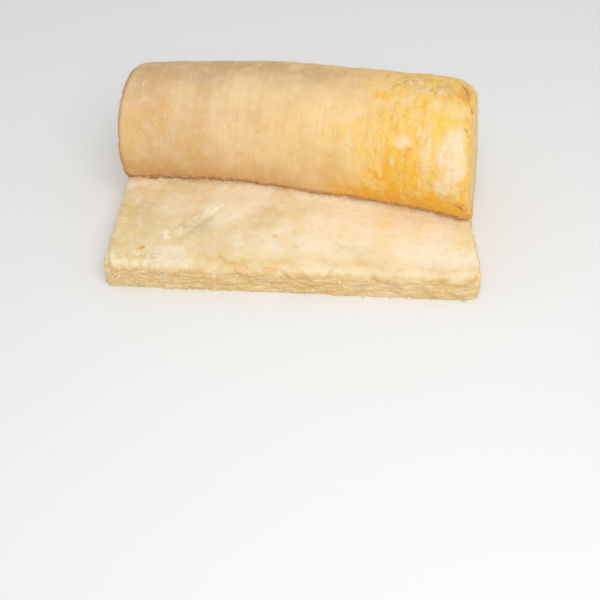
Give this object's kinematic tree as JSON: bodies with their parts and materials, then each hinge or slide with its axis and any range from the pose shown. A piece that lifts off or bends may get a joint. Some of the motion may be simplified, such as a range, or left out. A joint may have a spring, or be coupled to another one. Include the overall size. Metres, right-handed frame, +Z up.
{
  "type": "insulation roll",
  "caption": "Partly unrolled blanket of glass wool: a slightly tapered, bowed roll with spiral ends, and its own laid-out flat run with a cut front edge.",
  "frame": {"origin": "on the floor, under the middle of the roll, where the roll rests on its outer turn", "axes": "+X along the cut front edge, +Y from the laid run towards the roll, +Z up"},
  "size_m": [1.2391, 0.7801, 0.4841],
  "materials": {
    "glass_wool": "matte, fibrous"
  },
  "bodies": {
    "root": {"insulation_blanket": "glass_wool"}
  },
  "joints": []
}
